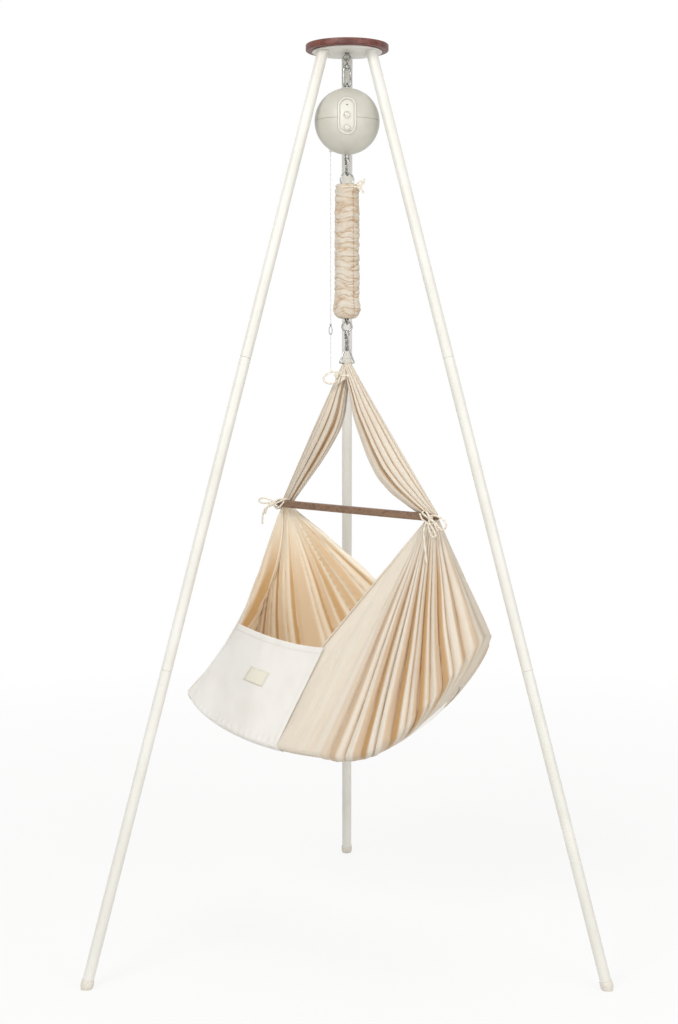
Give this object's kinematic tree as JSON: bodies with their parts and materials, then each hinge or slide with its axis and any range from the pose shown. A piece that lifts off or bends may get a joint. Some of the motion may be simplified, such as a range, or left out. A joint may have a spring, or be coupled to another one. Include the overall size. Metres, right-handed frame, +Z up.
{
  "type": "hanging baby cradle",
  "caption": "Canvas baby sling hung by a covered spring and hooks from a motor-driven ball under a three-legged stand with a wooden cap.",
  "frame": {"origin": "centre of the stand's footprint on the floor", "axes": "+Z up; +Y from the front towards the rear leg; +X to the right, seen from the front"},
  "size_m": [1.117, 0.9714, 1.995],
  "materials": {
    "cream_paint": "satin powder coat, ivory",
    "walnut": "oiled dark walnut, satin",
    "foot_rubber": "soft matt rubber, pale grey",
    "steel": "plain polished steel wire and fittings",
    "shell_plastic": "fine satin moulding, warm grey",
    "knob_plastic": "smooth cream moulding",
    "lamp_plastic": "dark smooth lens",
    "board": "coated circuit board, green",
    "canvas": "unbleached woven cotton",
    "white_cloth": "smooth white cotton",
    "cord": "plain twisted cotton cord"
  },
  "bodies": {
    "stand": {"left_leg_lower": "cream_paint", "left_leg_middle": "cream_paint", "left_leg_upper": "cream_paint", "left_foot": "foot_rubber", "right_leg_lower": "cream_paint", "right_leg_middle": "cream_paint", "right_leg_upper": "cream_paint", "right_foot": "foot_rubber", "rear_leg_lower": "cream_paint", "rear_leg_middle": "cream_paint", "rear_leg_upper": "cream_paint", "rear_foot": "foot_rubber", "top_plate": "cream_paint", "wood_cap": "walnut", "eye_bolt": "steel", "eye_nut": "steel"},
    "swivel_eye": {"top_swivel_eye": "steel"},
    "top_hook": {"top_snap_hook": "steel"},
    "top_gate": {"top_hook_gate": "steel"},
    "motor": {"upper_shell": "shell_plastic", "lower_shell": "shell_plastic", "control_panel": "shell_plastic", "status_lamp": "lamp_plastic", "motor_loop": "steel", "chassis": "steel", "gear_motor": "steel", "guide_bush": "knob_plastic", "circuit_board": "board", "power_inlet": "lamp_plastic", "line_guide": "knob_plastic"},
    "power_key": {"power_button": "knob_plastic"},
    "speed_key": {"speed_button": "knob_plastic"},
    "crank": {"crank_wheel": "steel"},
    "hanger": {"lift_rod": "steel", "pull_strap": "foot_rubber", "lift_snap_hook": "steel", "spring_ring": "steel", "spring_coil": "steel", "spring_cover": "canvas", "cover_tie": "cord", "safety_line_upper": "cord"},
    "lift_gate": {"lift_hook_gate": "steel"},
    "spring_foot": {"swivel_bail": "steel"},
    "sling_hook": {"sling_snap_hook": "steel"},
    "sling_gate": {"sling_hook_gate": "steel"},
    "sling": {"triangle_ring": "steel", "sling_canvas": "canvas", "front_panel": "white_cloth", "sewn_label": "canvas", "mattress": "white_cloth", "spreader_bar": "walnut", "head_tie": "cord", "foot_tie": "cord", "apex_tie": "cord", "line_snap": "steel", "safety_line_lower": "cord"}
  },
  "joints": [
    {"name": "eye_swing", "type": "hinge", "parent": "stand", "child": "swivel_eye", "pos_m": [0, -0.15754, 1.9582], "axis": [1, 0, 0], "range_deg": [-2.5, 2.5]},
    {"name": "top_swivel", "type": "hinge", "parent": "swivel_eye", "child": "top_hook", "pos_m": [0, -0.15754, 1.9419], "axis": [0, 0, 1], "continuous": true},
    {"name": "top_gate_swing", "type": "hinge", "parent": "top_hook", "child": "top_gate", "pos_m": [0.0074, -0.15754, 1.9368], "axis": [0, 1, 0], "range_deg": [0, 20], "stiffness_Nm_per_rad": 0.01, "springref_deg": -11.46},
    {"name": "loop_swing", "type": "hinge", "parent": "top_hook", "child": "motor", "pos_m": [0, -0.15754, 1.909], "axis": [0, 1, 0], "range_deg": [-2.5, 2.5]},
    {"name": "power_press", "type": "slide", "parent": "motor", "child": "power_key", "axis": [0, 1, 0], "range_m": [0, 0.0015], "stiffness_N_per_m": 400, "springref_m": -0.001},
    {"name": "speed_press", "type": "slide", "parent": "motor", "child": "speed_key", "axis": [0, 1, 0], "range_m": [0, 0.0015], "stiffness_N_per_m": 400, "springref_m": -0.001},
    {"name": "crank_spin", "type": "hinge", "parent": "motor", "child": "crank", "pos_m": [0, -0.15754, 1.8379], "axis": [0, 1, 0], "continuous": true, "deforming": ["pull_strap"]},
    {"name": "lift_slide", "type": "slide", "parent": "motor", "child": "hanger", "axis": [0, 0, 1], "range_m": [0, 0.008], "deforming": ["pull_strap"]},
    {"name": "lift_gate_swing", "type": "hinge", "parent": "hanger", "child": "lift_gate", "pos_m": [-0.00202, -0.152, 1.739], "axis": [-0.9397, -0.342, 0], "range_deg": [0, 20], "stiffness_Nm_per_rad": 0.01, "springref_deg": -11.46},
    {"name": "spring_stretch", "type": "slide", "parent": "hanger", "child": "spring_foot", "axis": [0, 0, -1], "range_m": [0, 0.12], "stiffness_N_per_m": 250, "springref_m": -0.25, "deforming": ["spring_coil", "spring_cover", "safety_line_upper"]},
    {"name": "foot_swivel", "type": "hinge", "parent": "spring_foot", "child": "sling_hook", "pos_m": [0, -0.15754, 1.3679], "axis": [0, 0, 1], "range_deg": [-4, 4]},
    {"name": "sling_gate_swing", "type": "hinge", "parent": "sling_hook", "child": "sling_gate", "pos_m": [-0.00219, -0.15153, 1.3603], "axis": [-0.9397, -0.342, 0], "range_deg": [0, 20], "stiffness_Nm_per_rad": 0.01, "springref_deg": -11.46},
    {"name": "cradle_tilt", "type": "hinge", "parent": "sling_hook", "child": "sling", "pos_m": [0, -0.15754, 1.3325], "axis": [-0.342, 0.9397, 0], "range_deg": [-2, 2]}
  ]
}
